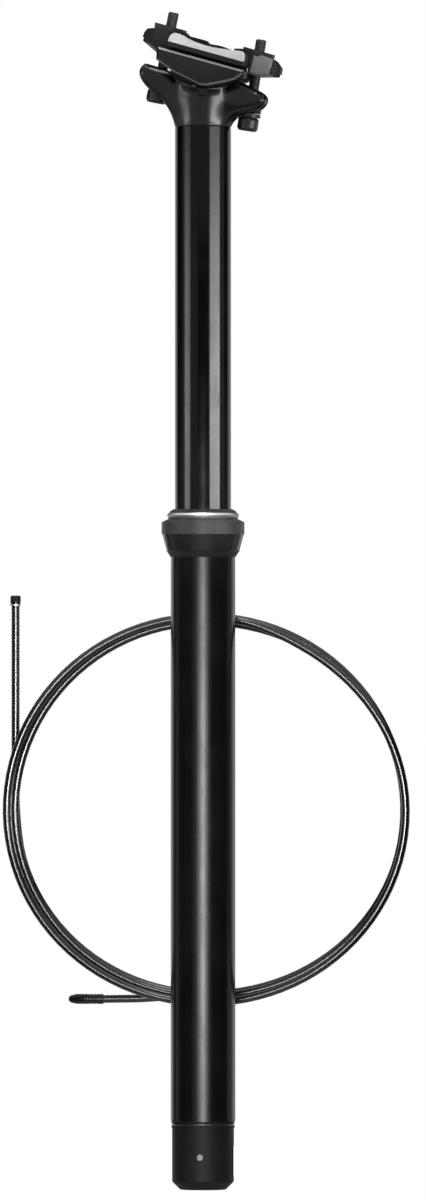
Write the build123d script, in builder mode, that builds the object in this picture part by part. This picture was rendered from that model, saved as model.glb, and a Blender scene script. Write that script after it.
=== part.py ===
from build123d import *
import math
import os

os.makedirs("parts", exist_ok=True)

# A bicycle dropper seatpost, in millimetres. Z runs up the post and X points to the front of the
# bicycle. Z is zero at the shoulder under the collar, where the post stops in its seat tube.

# Clearances that fits share, and the overrun of cutting tools
running_clearance = 0.05
fixed_clearance = 0.03
hinge_clearance = 0.1
cut_overrun = 1.0

# Telescoping tubes
lower_tube_radius = 15.8
lower_tube_wall = 1.5
thread_inset = 0.3
bushing_gap = 0.6
upper_tube_wall = 1.5
post_travel = 170.0
tube_overlap = 85.5
foot_space = 20.5
lower_tube_bore = lower_tube_radius - lower_tube_wall
upper_tube_radius = lower_tube_bore - bushing_gap
upper_tube_bore = upper_tube_radius - upper_tube_wall
lower_tube_reach = tube_overlap + post_travel + foot_space
thread_radius = lower_tube_radius - thread_inset

# Collar, light ring and wiper
thread_height = 14.0
collar_height = 19.4
collar_radius = 20.3
collar_lip = 0.15
ring_height = 2.1
ring_radius = 17.7
wiper_wall = 0.8
wiper_lip_radius = 16.5
wiper_lip_height = 1.9
ring_edge_shares = (0.25, 0.33)
wiper_rim_share = 0.33
panel_count = 3
panel_angle = 112.0
panel_depth = 0.3
panel_bottom = 3.2
panel_top = 11.2
head_clearance = 17.1
wiper_bottom = thread_height + collar_lip
ring_top = collar_height + ring_height
wiper_top = ring_top + wiper_lip_height
head_joint = wiper_top + post_travel + head_clearance

# Bushings and the keys that stop the upper tube from turning
upper_bushing_length = 25.0
lower_bushing_length = 16.0
lower_bushing_depth = 0.6
bushing_rim = 2.0
bushing_split = 0.8
key_radius = 1.0
key_length = 12.0
key_stand = 0.3
key_count = 3
key_rise = 4.0
key_circle = upper_tube_radius + key_stand
upper_tube_bottom = -tube_overlap
lower_bushing_bottom = upper_tube_bottom + bushing_rim
key_bottom = lower_bushing_bottom + lower_bushing_length + key_rise
keyway_spare = 1.0
keyway_top = key_bottom + key_length + keyway_spare

# Gas cartridge in the upper tube, its rod standing on the foot
cartridge_gap = 2.2
cartridge_wall = 1.5
cartridge_radius = upper_tube_bore - cartridge_gap
cartridge_bore = cartridge_radius - cartridge_wall
spigot_length = 18.0
cap_thickness = 4.0
stud_radius = 4.0
stud_length = 10.0
guide_flange = 4.0
guide_length = 12.0
guide_inset = 4.5
rod_radius = 4.0
rod_bore = 1.6
valve_pin_radius = 1.4
piston_length = 12.0
piston_gap = 1.0
piston_stud_radius = 2.8
piston_seal_radius = 0.9
floating_length = 12.0
floating_margin = 4.0
cup_floor_share = 0.33
spigot_bottom = head_joint - spigot_length
cartridge_top = spigot_bottom - fixed_clearance - cap_thickness
guide_bottom = upper_tube_bottom + guide_inset
cartridge_bottom = guide_bottom + guide_flange
guide_top = cartridge_bottom + guide_length
piston_bottom = guide_top + piston_gap
piston_top = piston_bottom + piston_length
floating_travel = post_travel * (rod_radius / cartridge_bore) ** 2
floating_bottom = piston_top + post_travel - floating_travel + floating_margin

# Foot of the lower tube
plug_height = 8.0
flange_height = 3.4
flange_radius = 15.5
foot_ring_thickness = 0.8
boss_radius = 11.5
boss_height = 5.4
nut_across_flats = 14.0
nut_height = 5.0
foot_bottom = -lower_tube_reach
flange_bottom = foot_bottom - flange_height
boss_bottom = flange_bottom - boss_height

# Actuator under the foot: housing, cam lever, cable barrel and valve pin
housing_radius = 15.15
housing_height = 30.2
housing_corner = 4.0
housing_edge = 1.33
slot_width = 8.0
slot_rear = 9.5
slot_floor = 6.3
pivot_rise = 16.1
lever_pin_radius = 1.5
pin_inset = 0.9
pin_spare = 1.0
recess_width = 6.2
recess_height = 4.6
recess_depth = 0.8
lever_width = 7.0
lever_turn = 35.0
cam_radius = 5.4
cam_offset = 3.0
barrel_ahead = 7.5
barrel_drop = 0.8
barrel_radius = 2.7
lever_end_radius = 3.9
wire_radius = 0.9
grub_radius = 1.2
grub_length = 1.5
button_radius = 4.4
button_thickness = 1.2
button_gap = 0.12
stop_ahead = 7.0
stop_radius = 3.5
stop_bore = 2.6
stop_depth = 5.0
housing_top = flange_bottom - fixed_clearance
housing_bottom = housing_top - housing_height
pivot_height = housing_bottom + pivot_rise
slot_bottom = housing_bottom + slot_floor
barrel_height = pivot_height - barrel_drop
button_bottom = pivot_height + cam_radius + button_gap
chamber_bottom = button_bottom - button_gap * 2
button_top = button_bottom + button_thickness
rod_bottom = boss_bottom + fixed_clearance
cam_lift = cam_offset * math.sin(math.radians(lever_turn))

# Saddle head and the frame of its rail clamp, which leans to the front
neck_flare = 1.4
neck_height = 10.0
head_width = 30.0
front_reach = 31.6
rear_reach = 30.9
ear_width = 17.0
rear_ear_height = 31.6
front_ear_height = 22.0
ear_edge_share = 0.0453
ear_edge = (rear_ear_height + front_ear_height + ear_width) * ear_edge_share
rail_rise = 34.0
rail_radius = 3.5
rail_gauge = 44.0
rail_gap = 1.7
clamp_width = 60.0
clamp_lean = 15.5
rocker_rise = 14.8
rocker_radius = 29.2
rocker_gap = 0.12
rail_height = head_joint + rail_rise
lean_cosine = math.cos(math.radians(clamp_lean))
lean_sine = math.sin(math.radians(clamp_lean))
clamp_along = Vector(lean_cosine, 0, -lean_sine)
clamp_up = Vector(lean_sine, 0, lean_cosine)
rail_centre = Vector(0, 0, rail_height)
side_plane = Plane(origin=rail_centre, x_dir=clamp_along, z_dir=(0, -1, 0))
rail_plane = Plane(origin=rail_centre, x_dir=(0, 1, 0), z_dir=clamp_along)

# Lower cradle
cradle_rear = 19.5
cradle_front = 24.3
cradle_depth = 13.4
cradle_channel = 31.6
block_rear = 12.0
block_front = 22.0
cradle_bevel = 1.0
key_rib_width = 12.0
key_rib_rear = 13.6
key_rib_rise = 0.55
key_rib_gap = 0.45

# Upper clamp
spine_width = 18.0
spine_rear = 31.1
spine_front = 39.4
spine_height = 8.8
spine_corner = 6.0
spine_bevel = 1.2
wing_rear = 15.3
wing_front = 23.2
wing_height = 7.9
ledge_height = 1.75
ledge_depth = 0.8

# Clamp bolts, washers and half-round nuts
bolt_radius = 2.5
bolt_length = 38.4
bolt_tip = 0.5
bolt_head_radius = 5.1
bolt_head_height = 6.9
bolt_head_edge = 1.8
socket_radius = 2.4
socket_depth = 3.2
washer_radius = 5.5
washer_thickness = 1.9
washer_gap = 0.22
pocket_gap = 0.5
seat_boss_height = 3.0
ear_hole_radius = 3.4
nut_radius = 7.3
nut_length = 15.0
nut_rise = 10.4
nut_bore = 2.9
nut_swing = 7.6
slot_spare = 0.8
rear_nut_back = 19.2
front_nut_ahead = 26.0
rear_seat_back = 21.5
rear_seat_rise = 20.5
front_seat_ahead = 23.0
front_seat_rise = 6.8

# Cable housing: a coil behind the post with two free ends
cord_radius = 2.0
cord_stub = 4.0
coil_centre_x = -1.0
coil_centre_z = -124.3
coil_front = 18.5
coil_pitch = 4.5
coil_start_angle = 24.0
coil_radii = [93.3, 99.0, 94.2, 98.4, 95.0, 97.7, 91.3, 94.8, 92.4, 97.4, 90.2, 95.0]
coil_step = 90.0
upper_tail_length = 96.3
cap_radius = 2.65
cap_length = 5.2
cap_edge = 0.6
ferrule_radius = 2.5
ferrule_length = 17.1
ferrule_edge = 1.4
lower_tail_points = [
    (-52.9, 34.4, -217.3),
    (-13.5, 34.4, -217.3),
    (1.9, 34.4, -208.0),
    (10.3, 34.2, -192.1),
    (8.2, 33.0, -163.0),
    (3.0, 29.5, -128.0),
    (-6.0, 24.5, -92.0),
    (-13.0, 20.0, -67.0),
    (-15.2, 18.9, -49.4),
    (-7.8, 18.6, -35.8),
    (6.6, 18.5, -30.0),
]
tail_last_run = 14.0
bend_share = 0.45
gap_samples = 300


def cylinder_between(radius, low, high, mode=Mode.ADD):
    """A cylinder on the post's axis, from one height to another, in the part being built."""
    with BuildSketch(Plane.XY.offset(low)) as disc:
        Circle(radius)
    extrude(disc.sketch, amount=high - low, mode=mode)


def ring_profile(points):
    """Revolves a closed outline of radius and height about the post's axis."""
    with BuildSketch(Plane.XZ) as outline:
        with BuildLine():
            Polyline(*points, close=True)
        make_face()
    revolve(outline.sketch, axis=Axis.Z)


def bolt_plane(seat, nut):
    """The plane of a clamp bolt: its origin is the ear's seat and its normal points to the nut."""
    along = (nut - seat).normalized()
    return Plane(origin=seat, x_dir=(along.Z, 0, -along.X), z_dir=along)


def write(piece, name):
    piece.label = name
    export_step(piece, "parts/" + name + ".step")


# Lower tube, with a keyway for each key
with BuildPart() as lower_tube:
    cylinder_between(lower_tube_radius, foot_bottom, 0)
    cylinder_between(thread_radius, 0, thread_height)
    cylinder_between(lower_tube_bore, foot_bottom, thread_height, mode=Mode.SUBTRACT)
    with BuildSketch(Plane.XY.offset(foot_bottom)):
        with PolarLocations(key_circle, key_count):
            Circle(key_radius + running_clearance)
    extrude(amount=keyway_top - foot_bottom, mode=Mode.SUBTRACT)
write(lower_tube.part, "lower_tube")

# Collar nut: a smooth band above, three shallow panels below
collar_foot = lower_tube_radius + collar_lip
collar_swell = collar_radius - collar_foot
collar_outline_shares = [
    (0.0, 0.0),
    (0.16, 0.06),
    (0.50, 0.17),
    (0.69, 0.28),
    (1.0, 0.58),
    (1.0, 0.88),
    (0.38, 0.945),
    (0.27, 0.95),
    (0.27, 1.0),
]
collar_outer = [
    (collar_foot + collar_swell * across, collar_height * up) for across, up in collar_outline_shares
]
collar_thread = thread_radius + fixed_clearance
wiper_seat = upper_tube_radius + fixed_clearance + wiper_wall + fixed_clearance
collar_inner = [
    (wiper_seat, collar_height),
    (wiper_seat, thread_height + fixed_clearance),
    (collar_thread, thread_height + fixed_clearance),
    (collar_thread, 0),
]
panel_foot_share = 0.50
panel_floor_low = collar_foot + collar_swell * panel_foot_share - panel_depth
panel_floor_high = collar_radius - panel_depth
with BuildPart() as collar:
    ring_profile(collar_outer + collar_inner)
    for number in range(panel_count):
        first_edge = 360 * number / panel_count - 90 - panel_angle / 2
        panel_plane = Plane.XZ.rotated((0, 0, first_edge))
        with BuildSketch(panel_plane):
            with BuildLine():
                Polyline(
                    (panel_floor_low, panel_bottom),
                    (panel_floor_high, panel_top),
                    (collar_radius + cut_overrun, panel_top),
                    (collar_radius + cut_overrun, panel_bottom),
                    close=True,
                )
            make_face()
        revolve(axis=Axis.Z, revolution_arc=panel_angle, mode=Mode.SUBTRACT)
write(collar.part, "collar")

# Light ring that holds the wiper
with BuildPart() as collar_ring:
    ring_profile(
        [
            (wiper_seat, collar_height),
            (ring_radius - ring_height * ring_edge_shares[0], collar_height),
            (ring_radius, collar_height + ring_height / 2),
            (ring_radius - ring_height * ring_edge_shares[1], ring_top),
            (wiper_seat, ring_top),
        ]
    )
write(collar_ring.part, "collar_ring")

# Rubber wiper, whose lip stands on the light ring
wiper_inner = upper_tube_radius + fixed_clearance
with BuildPart() as wiper_seal:
    ring_profile(
        [
            (wiper_inner, wiper_bottom),
            (wiper_inner + wiper_wall, wiper_bottom),
            (wiper_inner + wiper_wall, ring_top),
            (wiper_lip_radius, ring_top),
            (wiper_lip_radius, ring_top + wiper_lip_height * wiper_rim_share),
            (wiper_inner + wiper_wall, wiper_top),
            (wiper_inner, wiper_top),
        ]
    )
write(wiper_seal.part, "wiper_seal")

# Upper bushing, a split ring in the mouth of the lower tube
with BuildPart() as upper_bushing:
    bushing_bottom = thread_height - upper_bushing_length
    cylinder_between(lower_tube_bore - fixed_clearance, bushing_bottom, thread_height)
    cylinder_between(upper_tube_radius + running_clearance, bushing_bottom, thread_height, mode=Mode.SUBTRACT)
    with BuildSketch(Plane.XY.offset(bushing_bottom)):
        with Locations((0, lower_tube_bore)):
            Rectangle(bushing_split, lower_tube_wall * 2)
    extrude(amount=upper_bushing_length, mode=Mode.SUBTRACT)
write(upper_bushing.part, "upper_bushing")

# Upper tube, necked for the lower bushing and pocketed for the keys
bushing_seat = upper_tube_radius - lower_bushing_depth
with BuildPart() as upper_tube:
    cylinder_between(upper_tube_radius, upper_tube_bottom, head_joint)
    cylinder_between(upper_tube_bore, upper_tube_bottom, head_joint, mode=Mode.SUBTRACT)
    with BuildSketch(Plane.XY.offset(lower_bushing_bottom)):
        Circle(upper_tube_radius + cut_overrun)
        Circle(bushing_seat, mode=Mode.SUBTRACT)
    extrude(amount=lower_bushing_length, mode=Mode.SUBTRACT)
    with BuildSketch(Plane.XY.offset(key_bottom)):
        with PolarLocations(key_circle, key_count):
            Circle(key_radius + fixed_clearance)
    extrude(amount=key_length, mode=Mode.SUBTRACT)
write(upper_tube.part, "upper_tube")

# Lower bushing, a split ring round the foot of the upper tube
with BuildPart() as lower_bushing:
    ring_low = lower_bushing_bottom + fixed_clearance
    ring_high = lower_bushing_bottom + lower_bushing_length - fixed_clearance
    cylinder_between(lower_tube_bore - running_clearance, ring_low, ring_high)
    cylinder_between(bushing_seat + fixed_clearance, ring_low, ring_high, mode=Mode.SUBTRACT)
    with BuildSketch(Plane.XY.offset(ring_low)):
        with Locations((0, lower_tube_bore)):
            Rectangle(bushing_split, lower_bushing_depth * 4)
    extrude(amount=lower_bushing_length, mode=Mode.SUBTRACT)
write(lower_bushing.part, "lower_bushing")

# Anti-twist keys, half in the upper tube and half in the keyways
with BuildPart() as anti_twist_keys:
    with BuildSketch(Plane.XY.offset(key_bottom + fixed_clearance)):
        with PolarLocations(key_circle, key_count):
            Circle(key_radius)
    extrude(amount=key_length - fixed_clearance * 2)
write(anti_twist_keys.part, "anti_twist_keys")

# Cartridge body, its top cap with a stud into the head, and its rod guide
with BuildPart() as cartridge_body:
    cylinder_between(cartridge_radius, cartridge_bottom, cartridge_top)
    cylinder_between(cartridge_bore, cartridge_bottom, cartridge_top, mode=Mode.SUBTRACT)
write(cartridge_body.part, "cartridge_body")

with BuildPart() as cartridge_cap:
    cylinder_between(cartridge_radius, cartridge_top, cartridge_top + cap_thickness)
    cylinder_between(cartridge_bore - fixed_clearance, cartridge_top - cap_thickness, cartridge_top)
    cylinder_between(stud_radius, cartridge_top + cap_thickness, spigot_bottom + stud_length)
write(cartridge_cap.part, "cartridge_cap")

with BuildPart() as rod_guide:
    cylinder_between(cartridge_radius, guide_bottom, cartridge_bottom)
    cylinder_between(cartridge_bore - fixed_clearance, cartridge_bottom, guide_top)
    cylinder_between(rod_radius + running_clearance, guide_bottom, guide_top, mode=Mode.SUBTRACT)
write(rod_guide.part, "rod_guide")

# Rod with the valve pin's bore, and the main piston on its stud
with BuildPart() as cartridge_rod:
    cylinder_between(rod_radius, rod_bottom, piston_bottom)
    cylinder_between(piston_stud_radius, piston_bottom, piston_top)
    cylinder_between(rod_bore, rod_bottom, guide_bottom, mode=Mode.SUBTRACT)
write(cartridge_rod.part, "cartridge_rod")

seal_height = (piston_bottom + piston_top) / 2
with BuildPart() as main_piston:
    cylinder_between(cartridge_bore - running_clearance, piston_bottom, piston_top)
    cylinder_between(piston_stud_radius + fixed_clearance, piston_bottom, piston_top, mode=Mode.SUBTRACT)
    with BuildSketch(Plane.XY.offset(seal_height - piston_seal_radius)):
        Circle(cartridge_bore + cut_overrun)
        Circle(cartridge_bore - piston_seal_radius * 2, mode=Mode.SUBTRACT)
    extrude(amount=piston_seal_radius * 2, mode=Mode.SUBTRACT)
write(main_piston.part, "main_piston")

piston_ring_radius = cartridge_bore - running_clearance - piston_seal_radius
with BuildPart() as piston_seal:
    with BuildSketch(Plane.XZ):
        with Locations((piston_ring_radius + fixed_clearance, seal_height)):
            Circle(piston_seal_radius - fixed_clearance)
    revolve(axis=Axis.Z)
write(piston_seal.part, "piston_seal")

# Floating piston between oil and gas, cupped on the gas side
with BuildPart() as floating_piston:
    cylinder_between(cartridge_bore - running_clearance, floating_bottom, floating_bottom + floating_length)
    cylinder_between(
        cartridge_bore / 2,
        floating_bottom + floating_length * cup_floor_share,
        floating_bottom + floating_length,
        mode=Mode.SUBTRACT,
    )
write(floating_piston.part, "floating_piston")

# Foot plug, whose flange closes the tube and whose boss carries the actuator
ring_groove_top = foot_bottom - flange_height / 2 + foot_ring_thickness
with BuildPart() as foot_plug:
    cylinder_between(lower_tube_bore - fixed_clearance, foot_bottom, foot_bottom + plug_height)
    cylinder_between(flange_radius, flange_bottom, foot_bottom)
    cylinder_between(boss_radius, boss_bottom, flange_bottom)
    cylinder_between(rod_radius + fixed_clearance, boss_bottom, foot_bottom + plug_height, mode=Mode.SUBTRACT)
    with BuildSketch(Plane.XY.offset(ring_groove_top - foot_ring_thickness * 2)):
        Circle(flange_radius + cut_overrun)
        Circle(flange_radius - foot_ring_thickness * 2, mode=Mode.SUBTRACT)
    extrude(amount=foot_ring_thickness * 2, mode=Mode.SUBTRACT)
write(foot_plug.part, "foot_plug")

with BuildPart() as foot_ring:
    with BuildSketch(Plane.XZ):
        with Locations((flange_radius - foot_ring_thickness, ring_groove_top - foot_ring_thickness)):
            Circle(foot_ring_thickness - fixed_clearance)
    revolve(axis=Axis.Z)
write(foot_ring.part, "foot_ring")

with BuildPart() as rod_nut:
    with BuildSketch(Plane.XY.offset(foot_bottom + plug_height)):
        RegularPolygon(nut_across_flats / 2, 6, major_radius=False)
        Circle(rod_radius + fixed_clearance, mode=Mode.SUBTRACT)
    extrude(amount=nut_height)
write(rod_nut.part, "rod_nut")

# Actuator housing, with a slot for the lever that is open to the front
pivot_plane = Plane(origin=(0, 0, pivot_height), x_dir=(1, 0, 0), z_dir=(0, -1, 0))
recess_plane = pivot_plane.offset(housing_radius - recess_depth)
with BuildPart() as actuator_housing:
    cylinder_between(housing_radius, housing_bottom, housing_top)
    chamfer(actuator_housing.edges().group_by(Axis.Z)[0], housing_corner)
    fillet(
        actuator_housing.edges().filter_by(GeomType.CIRCLE).group_by(Axis.Z)[0:2],
        housing_edge,
    )
    cylinder_between(boss_radius + fixed_clearance, chamber_bottom, housing_top, mode=Mode.SUBTRACT)
    with BuildSketch(Plane.XY.offset(slot_bottom)):
        with Locations(((housing_radius + cut_overrun - slot_rear) / 2, 0)):
            Rectangle(housing_radius + cut_overrun + slot_rear, slot_width)
    extrude(amount=chamber_bottom - slot_bottom, mode=Mode.SUBTRACT)
    with BuildSketch(Plane.XY.offset(housing_bottom)):
        with Locations((stop_ahead, 0)):
            Circle(stop_radius + fixed_clearance)
    extrude(amount=slot_floor, mode=Mode.SUBTRACT)
    with BuildSketch(pivot_plane):
        Circle(lever_pin_radius + fixed_clearance)
    extrude(amount=housing_radius, both=True, mode=Mode.SUBTRACT)
    with BuildSketch(recess_plane):
        with BuildLine():
            Polyline(
                (recess_width / 2, 0),
                (0, recess_height / 2),
                (-recess_width / 2, 0),
                (0, -recess_height / 2),
                close=True,
            )
        make_face()
    extrude(amount=recess_depth, mode=Mode.SUBTRACT)
write(actuator_housing.part, "actuator_housing")

with BuildPart() as lever_pin:
    with BuildSketch(pivot_plane):
        Circle(lever_pin_radius)
    extrude(amount=housing_radius - pin_inset, both=True)
write(lever_pin.part, "lever_pin")

# Release lever: a round cam behind the pin, and an arm that holds the cable barrel ahead of it
with BuildPart() as release_lever:
    with BuildSketch(pivot_plane):
        with BuildLine():
            Polyline(
                (-cam_offset, cam_radius),
                (barrel_ahead, lever_end_radius - barrel_drop),
                (barrel_ahead, -lever_end_radius - barrel_drop),
                (-cam_offset, -cam_radius),
                close=True,
            )
        make_face()
        with Locations((-cam_offset, 0)):
            Circle(cam_radius)
        with Locations((barrel_ahead, -barrel_drop)):
            Circle(lever_end_radius)
            Circle(barrel_radius + hinge_clearance, mode=Mode.SUBTRACT)
        Circle(lever_pin_radius + hinge_clearance, mode=Mode.SUBTRACT)
    extrude(amount=lever_width / 2, both=True)
    with BuildSketch(Plane.XY.offset(barrel_height)):
        with Locations((barrel_ahead, 0)):
            Rectangle(barrel_radius, wire_radius * 3)
    extrude(amount=-lever_end_radius - cut_overrun, mode=Mode.SUBTRACT)
write(release_lever.part, "release_lever")

barrel_plane = Plane(origin=(barrel_ahead, 0, barrel_height), x_dir=(1, 0, 0), z_dir=(0, -1, 0))
grub_plane = Plane(origin=(barrel_ahead, 0, barrel_height), x_dir=(0, 1, 0), z_dir=(1, 0, 0))
with BuildPart() as cable_barrel:
    with BuildSketch(barrel_plane):
        Circle(barrel_radius)
    extrude(amount=lever_width / 2, both=True)
    with BuildSketch(Plane.XY.offset(barrel_height)):
        with Locations((barrel_ahead, 0)):
            Circle(wire_radius)
    extrude(amount=barrel_radius, both=True, mode=Mode.SUBTRACT)
    with BuildSketch(grub_plane):
        Circle(grub_radius + fixed_clearance)
    extrude(amount=barrel_radius, mode=Mode.SUBTRACT)
write(cable_barrel.part, "cable_barrel")

grub_start = wire_radius + fixed_clearance
with BuildPart() as cable_grub_screw:
    with BuildSketch(grub_plane.offset(grub_start)):
        Circle(grub_radius)
    extrude(amount=grub_length)
    with BuildSketch(grub_plane.offset(grub_start + grub_length / 2)):
        RegularPolygon(grub_radius / 2, 6)
    extrude(amount=grub_length / 2, mode=Mode.SUBTRACT)
write(cable_grub_screw.part, "cable_grub_screw")

# Valve pin, lifted by the cam through its button
with BuildPart() as valve_pin:
    cylinder_between(button_radius, button_bottom, button_top)
    cylinder_between(valve_pin_radius, button_top, guide_bottom - cam_lift - pin_spare)
write(valve_pin.part, "valve_pin")

# Cable stop in the housing's floor, which takes the end of the cable housing
with BuildPart() as cable_stop:
    with BuildSketch(Plane.XY.offset(housing_bottom)):
        with Locations((stop_ahead, 0)):
            Circle(stop_radius)
    extrude(amount=slot_floor)
    with BuildSketch(Plane.XY.offset(housing_bottom)):
        with Locations((stop_ahead, 0)):
            Circle(stop_bore)
    extrude(amount=stop_depth, mode=Mode.SUBTRACT)
    with BuildSketch(Plane.XY.offset(housing_bottom)):
        with Locations((stop_ahead, 0)):
            Circle(wire_radius)
    extrude(amount=slot_floor, mode=Mode.SUBTRACT)
write(cable_stop.part, "cable_stop")

# Places of the two clamp bolts
rear_seat = Vector(-rear_seat_back, 0, head_joint + rear_seat_rise)
front_seat = Vector(front_seat_ahead, 0, head_joint + front_seat_rise)
rear_nut_place = rail_centre + clamp_along * -rear_nut_back + clamp_up * nut_rise
front_nut_place = rail_centre + clamp_along * front_nut_ahead + clamp_up * nut_rise
rear_bolt_plane = bolt_plane(rear_seat, rear_nut_place)
front_bolt_plane = bolt_plane(front_seat, front_nut_place)
rear_reach_up = (rear_nut_place - rear_seat).length
front_reach_up = (front_nut_place - front_seat).length

# Saddle head: a flared neck and two ears, hollowed on top for the rocking cradle
front_ear_shares = [(0.475, 0.12), (0.60, 0.25), (0.885, 0.36), (1.0, 0.56), (0.91, 0.77)]
rear_ear_shares = [(0.49, 0.18), (0.60, 0.36), (0.89, 0.63), (1.0, 0.84), (0.90, 0.99)]
front_top_share = (0.51, 1.06)
rear_top_share = (0.45, 0.85)
front_edge = [(front_reach * out, front_ear_height * up) for out, up in front_ear_shares]
rear_edge = [(-rear_reach * out, rear_ear_height * up) for out, up in rear_ear_shares]
front_top = (front_reach * front_top_share[0], front_ear_height * front_top_share[1])
rear_top = (-rear_reach * rear_top_share[0], rear_ear_height * rear_top_share[1])
flare_shares = [(0.48, 0.09), (0.56, 0.21), (0.90, 0.345), (1.3, 0.37)]
flare = [(front_reach * out, head_joint + front_ear_height * up) for out, up in flare_shares]
head_plane = Plane(origin=(0, 0, head_joint), x_dir=(1, 0, 0), z_dir=(0, -1, 0))
seat_arc = rocker_radius + rocker_gap
pocket_radius = washer_radius + pocket_gap
with BuildPart() as saddle_head:
    with BuildSketch(head_plane):
        with BuildLine():
            Spline((upper_tube_radius, 0), *front_edge)
            Spline((-upper_tube_radius, 0), *rear_edge)
            Polyline(front_edge[-1], front_top, rear_top, rear_edge[-1])
            Line((upper_tube_radius, 0), (-upper_tube_radius, 0))
        make_face()
    extrude(amount=ear_width / 2, both=True)
    ear_edges = saddle_head.faces().filter_by(Axis.Y).edges()
    fillet(ear_edges.filter_by(lambda edge: edge.center().Z > head_joint), ear_edge)
    with BuildSketch(Plane.XZ):
        with BuildLine():
            Polyline(
                (0, head_joint),
                (upper_tube_radius, head_joint),
                *flare,
                (flare[-1][0], head_joint + rear_ear_height * 2),
                (0, head_joint + rear_ear_height * 2),
                close=True,
            )
        make_face()
    revolve(axis=Axis.Z, mode=Mode.INTERSECT)
    for seat_plane in (rear_bolt_plane, front_bolt_plane):
        with BuildSketch(seat_plane):
            Circle(washer_radius)
        extrude(amount=seat_boss_height)
    with BuildSketch(Plane.XZ):
        with BuildLine():
            neck_top = (upper_tube_radius + neck_flare, head_joint + neck_height)
            Line((0, head_joint), (upper_tube_radius, head_joint))
            TangentArc((upper_tube_radius, head_joint), neck_top, tangent=(0, 1))
            Polyline(
                neck_top,
                (head_width / 2, head_joint + rear_ear_height),
                (0, head_joint + rear_ear_height),
                (0, head_joint),
            )
        make_face()
    revolve(axis=Axis.Z)
    with BuildSketch(side_plane):
        with Locations((0, rocker_rise)):
            Circle(seat_arc)
    extrude(amount=head_width, both=True, mode=Mode.SUBTRACT)
    for seat_plane in (rear_bolt_plane, front_bolt_plane):
        with BuildSketch(seat_plane):
            Circle(ear_hole_radius)
        extrude(amount=rear_ear_height, mode=Mode.SUBTRACT)
        with BuildSketch(seat_plane):
            Circle(pocket_radius)
        extrude(amount=-rear_ear_height, mode=Mode.SUBTRACT)
    cylinder_between(upper_tube_bore - fixed_clearance, spigot_bottom, head_joint)
    cylinder_between(
        stud_radius + fixed_clearance,
        spigot_bottom,
        spigot_bottom + stud_length + fixed_clearance,
        mode=Mode.SUBTRACT,
    )
write(saddle_head.part, "saddle_head")


def leaned(shares, rear, front, height):
    """Points of the rail clamp's outline, from shares of its reach to each end and of its height."""
    return [((front if along > 0 else rear) * along, height * up) for along, up in shares]


# Lower cradle: two wings under the rails, joined by a block that rocks on the head
cradle_top = -rail_gap / 2
cradle_shares = [
    (-1.0, -0.28),
    (-0.96, -0.53),
    (-0.48, -0.80),
    (0.21, -1.0),
    (0.34, -0.965),
    (0.745, -0.61),
    (0.88, -0.46),
    (1.0, -0.19),
]
cradle_outline = leaned(cradle_shares, cradle_rear, cradle_front, cradle_depth)
arc_rear = rocker_rise - math.sqrt(rocker_radius**2 - block_rear**2)
arc_front = rocker_rise - math.sqrt(rocker_radius**2 - block_front**2)
with BuildPart() as lower_cradle:
    with BuildSketch(side_plane):
        with BuildLine():
            Polyline((-cradle_rear, cradle_top), *cradle_outline, (cradle_front, cradle_top), close=True)
        make_face()
    extrude(amount=clamp_width / 2, both=True)
    chamfer(lower_cradle.faces().filter_by(Axis.Y).edges(), cradle_bevel)
    with BuildSketch(rail_plane):
        Rectangle(cradle_channel, cradle_depth * 4)
    extrude(amount=cradle_rear + cradle_front, both=True, mode=Mode.SUBTRACT)
    with BuildSketch(side_plane):
        with BuildLine():
            ThreePointArc((-block_rear, arc_rear), (0, rocker_rise - rocker_radius), (block_front, arc_front))
            Polyline(
                (block_front, arc_front),
                (block_front, cradle_top),
                (-block_rear, cradle_top),
                (-block_rear, arc_rear),
            )
        make_face()
    extrude(amount=cradle_channel / 2, both=True)
    rib_top = key_rib_rise - cradle_top
    with BuildSketch(side_plane):
        with BuildLine():
            Polyline(
                (-key_rib_rear, cradle_top * 2),
                (block_front, cradle_top * 2),
                (block_front, rib_top),
                (-key_rib_rear, rib_top),
                close=True,
            )
        make_face()
    extrude(amount=key_rib_width / 2, both=True)
    with BuildSketch(rail_plane):
        with Locations((-rail_gauge / 2, 0), (rail_gauge / 2, 0)):
            Circle(rail_radius + running_clearance)
    extrude(amount=cradle_rear + cradle_front, both=True, mode=Mode.SUBTRACT)
write(lower_cradle.part, "lower_cradle")

# Upper clamp: a spine with a boss at each end, and two dished wings over the rails
wing_bottom = rail_gap / 2
front_boss_shares = [
    (0.60, -0.10),
    (0.64, -0.22),
    (0.755, -0.22),
    (1.0, 0.09),
    (0.987, 0.55),
    (0.90, 0.86),
    (0.85, 0.95),
    (0.47, 1.05),
    (0.38, 0.95),
    (0.365, 0.82),
    (0.20, 0.88),
    (0.02, 0.81),
    (-0.02, 0.95),
    (-0.31, 0.94),
]
rear_boss_shares = [
    (-0.357, 1.055),
    (-0.405, 1.11),
    (-0.508, 1.11),
    (-0.66, 1.0),
    (-0.80, 0.91),
    (-0.942, 0.74),
    (-0.98, 0.52),
    (-1.0, 0.07),
    (-0.695, -0.43),
    (-0.457, -0.40),
]
spine_foot_shares = (-0.457, 0.60)
spine_foot = [
    (spine_rear * spine_foot_shares[0], wing_bottom),
    (spine_front * spine_foot_shares[1], wing_bottom),
]
front_boss = leaned(front_boss_shares, spine_rear, spine_front, spine_height)
rear_boss = leaned(rear_boss_shares, spine_rear, spine_front, spine_height)
wing_end_shares = [(-1.0, 0.54), (-0.96, 0.84), (-0.84, 1.0)]
wing_dish_shares = [
    (-0.84, 1.0),
    (-0.58, 0.96),
    (-0.34, 0.84),
    (0.0, 0.77),
    (0.20, 0.75),
    (0.50, 0.83),
    (0.92, 1.0),
]
wing_front_shares = [(0.92, 1.0), (0.985, 0.85), (1.0, 0.54)]
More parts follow.
